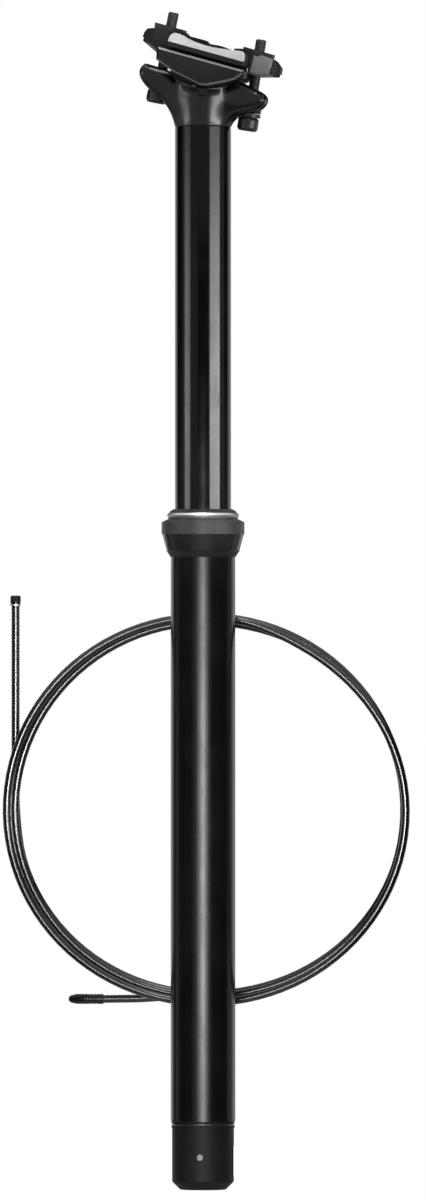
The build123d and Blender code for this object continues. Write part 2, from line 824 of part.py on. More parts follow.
wing_end = leaned(wing_end_shares, wing_rear, wing_front, wing_height)
wing_dish = leaned(wing_dish_shares, wing_rear, wing_front, wing_height)
wing_nose = leaned(wing_front_shares, wing_rear, wing_front, wing_height)
clamp_plan = Plane(origin=rail_centre, x_dir=clamp_along, z_dir=clamp_up)
with BuildPart() as upper_clamp:
    with BuildSketch(side_plane):
        with BuildLine():
            Polyline(
                *spine_foot,
                *front_boss,
                *rear_boss,
                close=True,
            )
        make_face()
    extrude(amount=spine_width / 2, both=True)
    side_edges = upper_clamp.faces().filter_by(Axis.Y).edges()
    low_edges = side_edges.filter_by(lambda edge: side_plane.to_local_coords(edge.center()).Y < 0)
    chamfer(low_edges, spine_bevel)
    with BuildSketch(clamp_plan):
        with Locations(((spine_front - spine_rear) / 2, 0)):
            RectangleRounded(spine_front + spine_rear, spine_width, spine_corner)
    extrude(amount=spine_front, both=True, mode=Mode.INTERSECT)
    with BuildSketch(side_plane):
        with BuildLine():
            Line((-wing_rear, wing_bottom), wing_end[0])
            ThreePointArc(*wing_end)
            Spline(*wing_dish)
            Polyline(*wing_nose, (wing_front, wing_bottom), (-wing_rear, wing_bottom))
        make_face()
    extrude(amount=clamp_width / 2, both=True)
    with BuildSketch(rail_plane):
        with Locations((-clamp_width / 2, wing_bottom), (clamp_width / 2, wing_bottom)):
            Rectangle(ledge_depth * 2, ledge_height * 2)
    extrude(amount=wing_rear + wing_front, both=True, mode=Mode.SUBTRACT)
    with BuildSketch(rail_plane):
        with Locations((-rail_gauge / 2, 0), (rail_gauge / 2, 0)):
            Circle(rail_radius + running_clearance)
    extrude(amount=wing_rear + wing_front, both=True, mode=Mode.SUBTRACT)
    with BuildSketch(rail_plane):
        with Locations((0, wing_bottom)):
            Rectangle(key_rib_width + key_rib_gap * 2, (key_rib_rise + key_rib_gap) * 2)
    extrude(amount=spine_front, both=True, mode=Mode.SUBTRACT)
    with BuildSketch(side_plane):
        with Locations((-rear_nut_back, nut_rise), (front_nut_ahead, nut_rise)):
            Circle(nut_radius + hinge_clearance)
    extrude(amount=nut_length / 2 + hinge_clearance, both=True, mode=Mode.SUBTRACT)
    with BuildSketch(side_plane):
        with Locations((-rear_nut_back, nut_rise), (front_nut_ahead, nut_rise)):
            Circle(nut_bore)
    extrude(amount=spine_width / 2, both=True, mode=Mode.SUBTRACT)
    slot_depth = nut_rise - min(up for along, up in front_boss + rear_boss)
    slot_length = (bolt_radius + slot_depth * math.tan(math.radians(nut_swing))) * 2 + slot_spare
    for hole_plane, reach_up in ((rear_bolt_plane, rear_reach_up), (front_bolt_plane, front_reach_up)):
        with BuildSketch(hole_plane.offset(reach_up - slot_depth * 2)):
            SlotOverall(slot_length, nut_bore * 2)
        extrude(amount=slot_depth * 2, mode=Mode.SUBTRACT)
write(upper_clamp.part, "upper_clamp")


def make_bolt(plane):
    """A clamp bolt with its head under the ear and its tip past the nut."""
    head_top = -washer_gap - washer_thickness
    with BuildPart() as bolt:
        with BuildSketch(plane.offset(head_top - bolt_head_height)):
            Circle(bolt_head_radius)
        extrude(amount=bolt_head_height)
        fillet(bolt.edges().filter_by(GeomType.CIRCLE), bolt_head_edge)
        with BuildSketch(plane.offset(head_top)):
            Circle(bolt_radius)
        extrude(amount=bolt_length)
        tip = bolt.faces().sort_by(Axis.Z)[-1]
        chamfer(tip.edges(), bolt_tip)
        with BuildSketch(plane.offset(head_top - bolt_head_height)):
            RegularPolygon(socket_radius, 6)
        extrude(amount=socket_depth, mode=Mode.SUBTRACT)
    return bolt.part


def make_washer(plane):
    """The washer between a bolt's head and its seat in the ear."""
    with BuildPart() as washer:
        with BuildSketch(plane.offset(-washer_gap - washer_thickness)):
            Circle(washer_radius)
            Circle(bolt_radius + hinge_clearance, mode=Mode.SUBTRACT)
        extrude(amount=washer_thickness)
    return washer.part


def make_nut(plane, reach_up, along):
    """A half-round nut, flat on top, that lies across the clamp's spine."""
    with BuildPart() as nut:
        with BuildSketch(side_plane):
            with Locations((along, nut_rise)):
                Circle(nut_radius)
            with Locations((along, nut_rise + nut_radius)):
                Rectangle(nut_radius * 2, nut_radius * 2, mode=Mode.SUBTRACT)
        extrude(amount=nut_length / 2, both=True)
        with BuildSketch(plane.offset(reach_up - nut_radius * 2)):
            Circle(nut_bore)
        extrude(amount=nut_radius * 3, mode=Mode.SUBTRACT)
    return nut.part


write(make_bolt(rear_bolt_plane), "rear_bolt")
write(make_bolt(front_bolt_plane), "front_bolt")
write(make_washer(rear_bolt_plane), "rear_washer")
write(make_washer(front_bolt_plane), "front_washer")
write(make_nut(rear_bolt_plane, rear_reach_up, -rear_nut_back), "rear_barrel_nut")
write(make_nut(front_bolt_plane, front_reach_up, front_nut_ahead), "front_barrel_nut")


# Cable housing
def coil_angle(number):
    """The clockwise angle from the top at which a numbered point of the coil lies."""
    return coil_start_angle if number == 0 else coil_step * number


def coil_point(number):
    turn = math.radians(coil_angle(number))
    radius = coil_radii[number]
    depth = coil_front + coil_pitch * coil_angle(number) / 360
    return Vector(
        coil_centre_x + radius * math.sin(turn),
        depth,
        coil_centre_z + radius * math.cos(turn),
    )


def coil_tangent(number):
    """The coil's direction at a point, from the radii of the points beside it."""
    turn = math.radians(coil_angle(number))
    radius = coil_radii[number]
    inner = 0 < number < len(coil_radii) - 1
    swell = (coil_radii[number + 1] - coil_radii[number - 1]) / math.pi if inner else 0
    climb = coil_pitch / (2 * math.pi) if inner else 0
    return Vector(
        radius * math.cos(turn) + swell * math.sin(turn),
        climb,
        -radius * math.sin(turn) + swell * math.cos(turn),
    ).normalized()


def biarc_middle(start, start_along, end, end_along):
    """Where two arcs that leave start and reach end along the given directions meet."""
    chord = end - start
    both = start_along + end_along
    bend = 2 * (1 - start_along.dot(end_along))
    lean = chord.dot(both)
    reach = (math.sqrt(lean**2 + bend * chord.dot(chord)) - lean) / bend
    first = start + start_along * reach
    second = end - end_along * reach
    return (first + second) / 2, (second - first).normalized()


coil_start = coil_point(0)
coil_end = coil_point(len(coil_radii) - 1)
coil_start_along = coil_tangent(0)
coil_end_along = coil_tangent(len(coil_radii) - 1)
coil_mouth = coil_start - coil_start_along * cord_stub
coil_exit = coil_end + coil_end_along * cord_stub
with BuildPart() as cable_coil:
    with BuildLine() as coil_line:
        Line(coil_mouth, coil_start)
        for number in range(len(coil_radii) - 1):
            start = coil_point(number)
            end = coil_point(number + 1)
            start_along = coil_tangent(number)
            middle, middle_along = biarc_middle(start, start_along, end, coil_tangent(number + 1))
            TangentArc(start, middle, tangent=start_along)
            TangentArc(middle, end, tangent=middle_along)
        Line(coil_end, coil_exit)
    with BuildSketch(Plane(origin=coil_mouth, z_dir=coil_start_along)):
        Circle(cord_radius)
    sweep(path=coil_line.line)
write(cable_coil.part, "cable_coil")

# Upper free end, straight up beside the post, with its cap
upper_tail_plane = Plane(origin=coil_exit, z_dir=coil_end_along)
with BuildPart() as cable_upper_tail:
    with BuildSketch(upper_tail_plane):
        Circle(cord_radius)
    extrude(amount=upper_tail_length)
write(cable_upper_tail.part, "cable_upper_tail")

with BuildPart() as cable_end_cap:
    with BuildSketch(upper_tail_plane.offset(upper_tail_length)):
        Circle(cap_radius)
    extrude(amount=cap_length)
    fillet(cable_end_cap.edges().group_by(Axis.Z)[-1], cap_edge)
write(cable_end_cap.part, "cable_end_cap")

# Lower free end: from the ferrule along the coil's foot, then up behind the post into the coil
tail_points = [Vector(*point) for point in lower_tail_points]
tail_points.append(coil_mouth - coil_start_along * tail_last_run)
tail_points.append(coil_mouth)
bend_radii = []
for before, corner, after in zip(tail_points, tail_points[1:], tail_points[2:]):
    turn = math.radians((corner - before).get_angle(after - corner))
    shorter = min((corner - before).length, (after - corner).length)
    bend_radii.append(bend_share * shorter / math.tan(turn / 2))
print("lower tail bend radii", [round(radius, 1) for radius in bend_radii])
with BuildPart() as cable_lower_tail:
    with BuildLine() as tail_line:
        FilletPolyline(*tail_points, radius=bend_radii)
    with BuildSketch(Plane(origin=tail_points[0], z_dir=tail_points[1] - tail_points[0])):
        Circle(cord_radius)
    sweep(path=tail_line.line)
write(cable_lower_tail.part, "cable_lower_tail")

ferrule_plane = Plane(origin=tail_points[0], z_dir=tail_points[0] - tail_points[1])
with BuildPart() as cable_ferrule:
    with BuildSketch(ferrule_plane):
        Circle(ferrule_radius)
    extrude(amount=ferrule_length)
    fillet(cable_ferrule.edges().group_by(Axis.X)[0], ferrule_edge)
write(cable_ferrule.part, "cable_ferrule")

# Lengths, volumes and the least gap of the cord to itself
cord_section = math.pi * cord_radius**2
coil_wire = coil_line.wire()
tail_wire = tail_line.wire()
for name, piece, wire in (("coil", cable_coil, coil_wire), ("lower tail", cable_lower_tail, tail_wire)):
    share = piece.part.volume / (cord_section * wire.length)
    print(name, "length", round(wire.length, 1), "volume over section times length", round(share, 4))
print("upper tail length", upper_tail_length)
coil_samples = [coil_wire.position_at(step / gap_samples) for step in range(gap_samples + 1)]
tail_samples = [tail_wire.position_at(step / gap_samples) for step in range(gap_samples + 1)]
skipped_samples = gap_samples // 6
least_gap = math.inf
for first_index, first in enumerate(coil_samples):
    for second in coil_samples[first_index + skipped_samples:]:
        least_gap = min(least_gap, (first - second).length - cord_radius * 2)
print("least gap of the coil to itself", round(least_gap, 2))
tail_gap = math.inf
for first in tail_samples[:-skipped_samples]:
    for second in coil_samples:
        tail_gap = min(tail_gap, (first - second).length - cord_radius * 2)
print("least gap of the lower tail to the coil", round(tail_gap, 2))
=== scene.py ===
import math

import bmesh
import bpy
from bpy.props import FloatProperty, FloatVectorProperty, IntProperty, PointerProperty
from mathutils import Matrix, Vector


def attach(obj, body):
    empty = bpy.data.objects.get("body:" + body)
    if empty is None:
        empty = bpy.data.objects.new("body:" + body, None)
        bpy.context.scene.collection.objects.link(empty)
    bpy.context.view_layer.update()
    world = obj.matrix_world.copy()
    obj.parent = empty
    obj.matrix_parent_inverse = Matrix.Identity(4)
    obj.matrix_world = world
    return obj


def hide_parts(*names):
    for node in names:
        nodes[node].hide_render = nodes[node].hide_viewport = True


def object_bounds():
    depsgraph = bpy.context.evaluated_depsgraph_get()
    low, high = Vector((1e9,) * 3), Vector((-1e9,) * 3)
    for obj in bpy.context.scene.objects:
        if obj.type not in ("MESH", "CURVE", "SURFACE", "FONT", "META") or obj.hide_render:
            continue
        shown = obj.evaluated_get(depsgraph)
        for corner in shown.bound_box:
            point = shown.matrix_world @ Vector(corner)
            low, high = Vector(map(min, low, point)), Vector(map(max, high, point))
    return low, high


bl_info = {
    "name": "Dropper seatpost",
    "version": (1, 0, 0),
    "blender": (4, 5, 0),
    "location": "View3D > Sidebar > Seatpost",
    "description": "Finishes, cable housing, threads and stage of a telescopic bicycle seatpost",
    "category": "Object",
}

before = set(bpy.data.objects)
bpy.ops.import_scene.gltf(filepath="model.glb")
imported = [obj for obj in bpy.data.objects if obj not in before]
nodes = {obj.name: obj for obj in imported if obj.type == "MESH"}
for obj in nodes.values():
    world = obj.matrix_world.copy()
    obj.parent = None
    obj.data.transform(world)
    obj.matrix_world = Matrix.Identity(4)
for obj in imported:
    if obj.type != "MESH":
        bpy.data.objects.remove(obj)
cad_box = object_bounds()
MM = 0.001

# The saddle rails' height on the post's axis, and the lean to the front of the clamp that holds them
RAIL_HEIGHT = 244.5 * MM
CLAMP_LEAN = math.radians(15.5)

# Colours of the small parts' plain materials
BRASS = (0.72, 0.55, 0.25)
CHROME = (0.78, 0.79, 0.8)
GROUND_STEEL = (0.7, 0.7, 0.71)
DARK_STEEL = (0.07, 0.07, 0.07)
ZINC = (0.5, 0.51, 0.52)
GREY_PLASTIC = (0.1, 0.1, 0.11)

# Clamp bolts: the seat in the ear and the middle of the nut, in mm
BOLT_LINES = {
    "rear_bolt": ((-21.5, 0, 231.0), (-15.722, 0, 259.653)),
    "front_bolt": ((23.0, 0, 217.3), (27.834, 0, 247.574)),
}

# Cable housing, in mm: the coil's middle (x, z), clockwise angles from the top with the radii there,
# the depth at the top and the step from turn to turn, the points of the lower free end, the length of
# the upper one and the straight lead into the coil
COIL_CENTRE = (-1.0, -124.3)
COIL_ANGLES = [24.0] + [90.0 * quarter for quarter in range(1, 12)]
COIL_RADII = [93.3, 99.0, 94.2, 98.4, 95.0, 97.7, 91.3, 94.8, 92.4, 97.4, 90.2, 95.0]
COIL_DEPTH = (18.5, 4.5)
LOWER_TAIL = [
    (-52.9, 34.4, -217.3),
    (-13.5, 34.4, -217.3),
    (1.9, 34.4, -208.0),
    (10.3, 34.2, -192.1),
    (8.2, 33.0, -163.0),
    (3.0, 29.5, -128.0),
    (-6.0, 24.5, -92.0),
    (-13.0, 20.0, -67.0),
    (-15.2, 18.9, -49.4),
    (-7.8, 18.6, -35.8),
    (6.6, 18.5, -30.0),
]
UPPER_TAIL = 100.3
TAIL_LEAD = 18.0


class Field:
    """A socket of a node tree; arithmetic on it adds Math nodes."""

    def __init__(self, tree, socket):
        self.tree = tree
        self.socket = socket

    def beside(self, output):
        """Another output of the same node."""
        return Field(self.tree, self.socket.node.outputs[output])

    def math(self, operation, *others):
        sockets = dict(enumerate((self, *others)))
        return self.tree.add("ShaderNodeMath", {"operation": operation}, sockets)

    def __add__(self, other):
        return self.math("ADD", other)

    def __sub__(self, other):
        return self.math("SUBTRACT", other)

    def __rsub__(self, other):
        return self.tree.add("ShaderNodeMath", {"operation": "SUBTRACT"}, {0: other, 1: self})

    def __mul__(self, other):
        return self.math("MULTIPLY", other)

    def __gt__(self, other):
        return self.math("GREATER_THAN", other)

    def __lt__(self, other):
        return self.math("LESS_THAN", other)

    def __abs__(self):
        return self.math("ABSOLUTE")


class Tree:
    """The nodes of one material or world."""

    def __init__(self, owner):
        owner.use_nodes = True
        self.nodes = owner.node_tree.nodes
        self.links = owner.node_tree.links

    def feed(self, socket, value):
        if isinstance(value, Field):
            self.links.new(value.socket, socket)
        elif hasattr(value, "__len__") and socket.type == "RGBA":
            socket.default_value = (*value[:3], 1)
        else:
            socket.default_value = value

    def add(self, kind, settings=None, sockets=None, output=0):
        node = self.nodes.new(kind)
        for name, value in (settings or {}).items():
            if name != "stops":
                setattr(node, name, value)
                continue
            for stop, (position, grey) in zip(node.color_ramp.elements, value):
                stop.position = position
                stop.color = (grey, grey, grey, 1)
        for name, value in (sockets or {}).items():
            self.feed(node.inputs[name], value)
        return Field(self, node.outputs[output])

    def split(self, vector):
        """The three parts of a vector."""
        first = self.add("ShaderNodeSeparateXYZ", sockets={0: vector})
        return [first.beside(number) for number in range(3)]


class Finish(Tree):
    """One procedural material, in the object's own coordinates."""

    def __init__(self, name):
        self.material = bpy.data.materials.new(name)
        super().__init__(self.material)
        self.surface = self.nodes["Principled BSDF"]
        self.place = self.add("ShaderNodeTexCoord", output="Object")

    def axes(self):
        """The three coordinates, in metres."""
        return self.split(self.place)

    def normal_axes(self):
        return self.split(self.add("ShaderNodeNewGeometry", output="Normal"))

    def stretched(self, along, across):
        """Coordinates in which a pattern is drawn out: scales along Z and across it."""
        return self.add(
            "ShaderNodeMapping", sockets={"Vector": self.place, "Scale": (across, across, along)}
        )

    def noise(self, scale, detail, rough=0.55, place=None):
        return self.add(
            "ShaderNodeTexNoise",
            sockets={"Vector": place or self.place, "Scale": scale, "Detail": detail, "Roughness": rough},
        )

    def ramp(self, value, low, high):
        """Black below one value, white above the other."""
        return self.add("ShaderNodeValToRGB", {"stops": [(low, 0.0), (high, 1.0)]}, {0: value})

    def mix(self, mask, first, second):
        return self.add(
            "ShaderNodeMix", {"data_type": "RGBA"}, {0: mask, 6: first, 7: second}, output=2
        )

    def bump(self, height, depth, strength):
        sockets = {"Height": height, "Distance": depth, "Strength": strength}
        self.feed(self.surface.inputs["Normal"], self.add("ShaderNodeBump", sockets=sockets))

    def dress(self, **sockets):
        for name, value in sockets.items():
            self.feed(self.surface.inputs[name.replace("_", " ")], value)
        return self.material


def shade(colour, factor):
    return tuple(channel * factor for channel in colour)


def anodised(name, colour, roughness, grain, specular):
    """Black or grey anodising over a fine blasted or polished grain."""
    finish = Finish(name)
    cloud = finish.ramp(finish.noise(45, 2), 0.35, 0.7)
    speck = finish.noise(2600, 2, 0.7)
    tone = finish.mix(cloud, shade(colour, 0.75), shade(colour, 1.25))
    finish.bump(speck, grain, 0.5)
    scuff = finish.ramp(finish.noise(260, 5, 0.7, finish.stretched(0.12, 1)), 0.56, 0.72)
    return finish.dress(
        Base_Color=tone,
        Roughness=cloud * 0.04 + scuff * 0.05 + roughness,
        Specular_IOR_Level=specular,
    )


def turned_metal(name, colour, roughness, lines=5200):
    """Bright metal with the fine rings of a lathe tool round the post's axis."""
    finish = Finish(name)
    ring = finish.add("ShaderNodeCombineXYZ", sockets={2: finish.axes()[2]})
    tool = finish.noise(lines, 2, 0.6, ring)
    patch = finish.noise(140, 3)
    tone = finish.mix(tool, shade(colour, 0.82), colour)
    finish.bump(tool, 0.00002, 0.6)
    return finish.dress(Base_Color=tone, Metallic=1.0, Roughness=patch * 0.1 + roughness)


def drawn_metal(name, colour, roughness):
    """Plain tube stock, with faint lines along its length."""
    finish = Finish(name)
    line = finish.noise(1400, 4, 0.65, finish.stretched(0.02, 1))
    tone = finish.mix(line, shade(colour, 0.8), colour)
    finish.bump(line, 0.00002, 0.4)
    return finish.dress(Base_Color=tone, Metallic=1.0, Roughness=line * 0.12 + roughness)


def steel(name, colour, roughness, mottle=0.3):
    """Oxidised, plated or polished steel, a little mottled."""
    finish = Finish(name)
    patch = finish.ramp(finish.noise(420, 5, 0.65), 0.3, 0.75)
    tone = finish.mix(patch, shade(colour, 1 - mottle), colour)
    finish.bump(finish.noise(3000, 2), 0.00001, 0.4)
    return finish.dress(Base_Color=tone, Metallic=0.9, Roughness=patch * 0.12 + roughness)


def moulded(name, colour, roughness, grain=0.00003, specular=0.5):
    """Rubber or plastic from a mould, with a fine even grain and faint dust."""
    finish = Finish(name)
    dust = finish.ramp(finish.noise(160, 4, 0.7), 0.55, 0.8)
    tone = finish.mix(dust, colour, tuple(channel * 1.3 + 0.004 for channel in colour))
    finish.bump(finish.noise(1900, 3, 0.6), grain, 0.6)
    return finish.dress(Base_Color=tone, Roughness=dust * 0.1 + roughness, Specular_IOR_Level=specular)


def forged(name, colour):
    """Gloss black over a forging, whose skin rolls very slightly."""
    finish = Finish(name)
    roll = finish.noise(70, 2, 0.4)
    fine = finish.noise(2200, 2)
    tone = finish.mix(roll, shade(colour, 0.7), shade(colour, 1.3))
    finish.bump(roll + fine * 0.06, 0.00018, 0.5)
    return finish.dress(Base_Color=tone, Roughness=roll * 0.05 + 0.2, Specular_IOR_Level=0.26)


def clamp_metal(name, colour, bright):
    """Anodised clamp: bright machined flanks over a dark ledge that also stand in for a painted
    reflection of the lamps, a painted highlight of bare metal on the chamfers, and a front boss painted a
    lit grey.
    """
    finish = Finish(name)
    sine, cosine = math.sin(CLAMP_LEAN), math.cos(CLAMP_LEAN)
    wing_foot, wing_side = 3.1 * MM, 28.5 * MM
    boss_foot, boss_back, boss_front = -1.0 * MM, 25.0 * MM, 34.5 * MM
    x, y, z = finish.axes()
    above_rail = z - RAIL_HEIGHT
    height = x * sine + above_rail * cosine
    along = x * cosine - above_rail * sine
    normal_x, normal_y, normal_z = finish.normal_axes()
    sideways = abs(normal_y)
    # chamfers that face up or down are painted as bare metal: a painted highlight along the clamp's edges
    upright = abs(normal_x * sine + normal_z * cosine) > 0.4
    chamfer_highlight = upright * (sideways > 0.55) * (sideways < 0.85)
    # bright metal on the flanks: machined faces, and also a painted reflection of the lamps on the black
    # clamp
    machined_wing_painted_reflection = (sideways > 0.9) * (height > wing_foot) * (abs(y) > wing_side)
    # the front boss's side is painted a lit grey while the rear boss stays dark: painted light
    front = (sideways > 0.985) * (along > boss_back) * (along < boss_front)
    boss = front * (height > boss_foot) * (1 - machined_wing_painted_reflection)
    sweep = finish.noise(900, 3, 0.6, finish.stretched(0.1, 0.3))
    fleck = finish.noise(1500, 2, 0.8)
    cloud = finish.ramp(finish.noise(60, 2), 0.35, 0.7)
    dark = finish.mix(cloud, shade(colour, 0.75), shade(colour, 1.25))
    # grey of the front boss, painted light
    grey = finish.mix(fleck, (0.1, 0.1, 0.1), (0.13, 0.13, 0.13))
    # bare metal of the chamfers, a painted highlight
    chamfer_highlight_tone = finish.mix(fleck, (0.12, 0.12, 0.12), (0.2, 0.2, 0.2))
    # bright metal of the flanks, partly a painted reflection
    light = finish.mix(finish.ramp(fleck, 0.4, 0.65), shade(bright, 0.26), shade(bright, 0.38))
    finish.bump(finish.noise(2400, 2, 0.7), 0.000008, 0.5)
    return finish.dress(
        Base_Color=finish.mix(machined_wing_painted_reflection, finish.mix(boss, finish.mix(chamfer_highlight, dark, chamfer_highlight_tone), grey), light),
        Metallic=machined_wing_painted_reflection * 0.9 + boss * 0.8 + chamfer_highlight * 0.6,
        Roughness=sweep * 0.08 + 0.3,
        Specular_IOR_Level=0.09,
    )


def collar_skin(name, colour):
    """Satin grey collar whose sunk panels are polished; the panels and the rim under them are painted
    darker, as painted shade.
    """
    finish = Finish(name)
    height = finish.axes()[2]
    lip_top, panel_top = 2.6 * MM, 11.3 * MM
    painted_shade_lip = height < lip_top
    panel = (height > lip_top) * (height < panel_top)
    cloud = finish.ramp(finish.noise(70, 2), 0.35, 0.7)
    band_tone = finish.mix(cloud, shade(colour, 0.8), shade(colour, 1.1))
    painted_shade_panel_tone = finish.mix(cloud, shade(colour, 0.35), shade(colour, 0.5))
    # the sunk panels and the bottom rim are painted darker: painted shade
    tone = finish.mix(painted_shade_lip, finish.mix(panel, band_tone, painted_shade_panel_tone), shade(colour, 0.4))
    finish.bump(finish.noise(2600, 2, 0.7), 0.000008, 0.5)
    return finish.dress(
        Base_Color=tone, Roughness=0.45 - panel * 0.25 + cloud * 0.03, Specular_IOR_Level=0.18
    )


def blackened(name, specular):
    """Black oxide on steel, worn a little grey on its high spots."""
    finish = Finish(name)
    worn = finish.ramp(finish.noise(800, 5, 0.7), 0.5, 0.75)
    tone = finish.mix(worn, (0.012, 0.012, 0.013), (0.045, 0.045, 0.046))
    finish.bump(finish.noise(3000, 2), 0.000008, 0.4)
    return finish.dress(Base_Color=tone, Roughness=worn * 0.12 + 0.26, Specular_IOR_Level=specular)


def cable_skin(name, colour):
    """Satin jacket of a cable housing, with faint rubs."""
    finish = Finish(name)
    rub = finish.ramp(finish.noise(90, 5, 0.7), 0.5, 0.75)
    tone = finish.mix(rub, colour, tuple(channel * 1.3 + 0.002 for channel in colour))
    finish.bump(finish.noise(1500, 3), 0.000002, 0.4)
    return finish.dress(Base_Color=tone, Roughness=rub * 0.05 + 0.2, Specular_IOR_Level=0.6)


def paper(name):
    """The floor's pale paper."""
    finish = Finish(name)
    fibre = finish.noise(700, 4, 0.6)
    return finish.dress(Base_Color=finish.mix(fibre, (0.86, 0.86, 0.86), (0.9, 0.9, 0.9)), Roughness=0.8)


def cloth(name):
    """Dull black cloth of the panels round the stage."""
    finish = Finish(name)
    weave = finish.noise(900, 3)
    tone = finish.mix(weave, (0.002, 0.002, 0.002), (0.004, 0.004, 0.004))
    return finish.dress(Base_Color=tone, Roughness=1.0, Specular_IOR_Level=0.0)


def made(name):
    """A finish that is made once and then shared. Its name is none of the slots' names."""
    colours = bpy.context.scene.seatpost_colours
    if name in bpy.data.materials:
        return bpy.data.materials[name]
    recipes = {
        "stanchion_gloss": lambda: anodised(name, colours.stanchion, 0.11, 0.000002, 0.1),
        "tube_satin": lambda: anodised(name, colours.lower_tube, 0.22, 0.000004, 0.15),
        "collar_satin": lambda: collar_skin(name, colours.collar),
        "housing_satin": lambda: anodised(name, shade(colours.lower_tube, 1.6), 0.5, 0.00001, 0.1),
        "ring_bright": lambda: turned_metal(name, shade(colours.bright, 0.72), 0.34),
        "piston_turned": lambda: turned_metal(name, shade(colours.bright, 0.9), 0.26, 3400),
        "inner_drawn": lambda: drawn_metal(name, shade(colours.bright, 0.8), 0.3),
        "wiper_rubber": lambda: moulded(name, colours.rubber, 0.5, specular=0.25),
        "foot_ring_rubber": lambda: moulded(name, colours.rubber, 0.16, 0.00001, 0.9),
        "bushing_moulded": lambda: moulded(name, GREY_PLASTIC, 0.45),
        "key_drawn": lambda: steel(name, BRASS, 0.26, 0.2),
        "head_forged": lambda: forged(name, colours.stanchion),
        "clamp_machined_painted_light": lambda: clamp_metal(name, colours.clamp, colours.bright),
        "bolt_oxide": lambda: blackened(name, 0.25),
        "nut_black": lambda: blackened(name, 0.12),
        "washer_oxide": lambda: blackened(name, 0.2),
        "rod_chrome": lambda: steel(name, CHROME, 0.08, 0.06),
        "pin_ground": lambda: steel(name, GROUND_STEEL, 0.2, 0.12),
        "pin_black": lambda: steel(name, DARK_STEEL, 0.35, 0.12),
        "lever_zinc": lambda: steel(name, ZINC, 0.33, 0.25),
        "cable_jacket": lambda: cable_skin(name, colours.cable),
        "fitting_plastic": lambda: moulded(name, colours.cable, 0.2, 0.00001, 0.3),
        "floor_paper": lambda: paper(name),
        "flag_cloth": lambda: cloth(name),
    }
    return recipes[name]()


NODE_FINISHES = {
    "stanchion_gloss": ["upper_tube"],
    "tube_satin": ["lower_tube"],
    "collar_satin": ["collar"],
    "housing_satin": ["actuator_housing", "foot_plug"],
    "ring_bright": ["collar_ring"],
    "piston_turned": ["main_piston", "floating_piston", "rod_guide", "cartridge_cap", "cable_stop"],
    "inner_drawn": ["cartridge_body"],
    "wiper_rubber": ["wiper_seal", "piston_seal"],
    "foot_ring_rubber": ["foot_ring"],
    "bushing_moulded": ["upper_bushing", "lower_bushing"],
    "key_drawn": ["anti_twist_keys"],
    "head_forged": ["saddle_head"],
    "clamp_machined_painted_light": ["lower_cradle", "upper_clamp"],
    "bolt_oxide": ["rear_bolt", "front_bolt", "rod_nut", "cable_grub_screw"],
    "nut_black": ["rear_barrel_nut", "front_barrel_nut"],
    "washer_oxide": ["rear_washer", "front_washer"],
    "rod_chrome": ["cartridge_rod"],
    "pin_ground": ["valve_pin"],
    "pin_black": ["lever_pin"],
    "lever_zinc": ["release_lever", "cable_barrel"],
    "fitting_plastic": ["cable_end_cap", "cable_ferrule"],
    "cable_jacket": ["cable_coil", "cable_lower_tail", "cable_upper_tail"],
}


def put_finish(piece, material):
    piece.data.materials.clear()
    piece.data.materials.append(material)


def finished(name, shape, material, smooth_angle=35.0):
    """An object from a bmesh, smooth but for its sharper edges."""
    bmesh.ops.remove_doubles(shape, verts=shape.verts, dist=0.002 * MM)
    bmesh.ops.recalc_face_normals(shape, faces=shape.faces)
    mesh = bpy.data.meshes.new(name)
    shape.to_mesh(mesh)
    shape.free()
    mesh.shade_smooth()
    mesh.set_sharp_from_angle(angle=math.radians(smooth_angle))
    piece = bpy.data.objects.new(name, mesh)
    bpy.context.scene.collection.objects.link(piece)
    put_finish(piece, material)
    return piece


def spun(outline, origin, along, steps, **turning):
    """Radius and length pairs, in mm, spun about the line that leaves a point in a direction."""
    shape = bmesh.new()
    points = [shape.verts.new((radius, 0, length)) for radius, length in outline]
    edges = [shape.edges.new(pair) for pair in zip(points, points[1:])]
    bmesh.ops.spin(shape, geom=points + edges, cent=(0, 0, 0), axis=(0, 0, 1), steps=steps, **turning)
    turn = Vector((0, 0, 1)).rotation_difference(Vector(along)).to_matrix().to_4x4()
    place = Matrix.Translation(Vector(origin) * MM) @ turn @ Matrix.Scale(MM, 4)
    bmesh.ops.transform(shape, matrix=place, verts=shape.verts)
    return shape


def turned(name, outline, origin, along, material):
    """A piece turned on a lathe."""
    return finished(name, spun(outline, origin, along, 40, angle=math.tau, use_merge=True), material)


def coil_radius(angle):
    """The coil's radius at an angle, eased between the radii that are given each quarter turn."""
    for first, last, low, high in zip(COIL_ANGLES, COIL_ANGLES[1:], COIL_RADII, COIL_RADII[1:]):
        if angle <= last:
            ease = (1 - math.cos(math.pi * (angle - first) / (last - first))) / 2
            return low + (high - low) * ease
    return COIL_RADII[-1]


def coil_point(angle, spread=1.0):
    """A point of the coil, in mm; each turn lies a pitch behind the last."""
    turn = math.radians(angle)
    radius = coil_radius(angle) * spread
    front, pitch = COIL_DEPTH
    return Vector(
        (
            COIL_CENTRE[0] + radius * math.sin(turn),
            front + pitch * angle / 360,
            COIL_CENTRE[1] + radius * math.cos(turn),
        )
    )


def cable_route(per_turn):
    """Control points of the cable housing, from its ferrule through the coil to its capped end."""
    first, last = COIL_ANGLES[0], COIL_ANGLES[-1]
    steps = round((last - first) / 360 * per_turn)
    step = (last - first) / steps
    # the spline runs inside its control points, so those of the coil stand out a little
    spread = 1 / math.cos(math.radians(step) / 2)
    mouth = coil_point(first)
    along = (coil_point(first + 1) - mouth).normalized()
    points = [Vector(point) for point in LOWER_TAIL]
    points.append(mouth - along * TAIL_LEAD)
    points += [coil_point(first + step * number, spread) for number in range(steps)]
    end = coil_point(last)
    points += [end + Vector((0, 0, rise)) for rise in (0, UPPER_TAIL / 6, UPPER_TAIL / 2, UPPER_TAIL)]
    return [point * MM for point in points]


